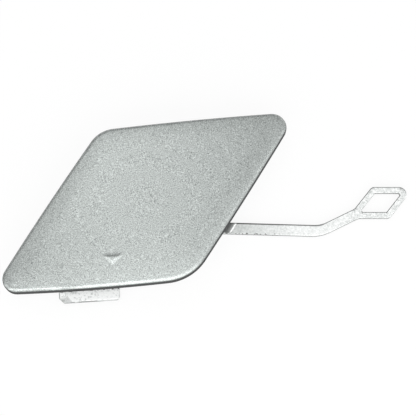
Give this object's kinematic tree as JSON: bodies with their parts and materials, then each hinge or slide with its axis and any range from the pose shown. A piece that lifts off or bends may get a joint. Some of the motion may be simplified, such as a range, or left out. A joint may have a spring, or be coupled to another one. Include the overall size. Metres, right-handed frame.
{
  "type": "bumper tow hook cover",
  "caption": "Crowned slanted cap for the towing eye's hole in a bumper, with a retaining tongue, snap hooks and a captive strap that ends in an eye.",
  "frame": {"origin": "middle of the part's box, on the plane of the rear frame's end, where it rests", "axes": "+Z out of the painted face, +X towards the strap's eye, +Y towards the snap hooks' side"},
  "size_m": [0.1188, 0.0566, 0.012],
  "materials": {
    "silver_paint": "silver metallic paint under clear lacquer, thinner on the strap, tongue and back"
  },
  "bodies": {
    "root": {"tow_hook_cover": "silver_paint"}
  },
  "joints": []
}
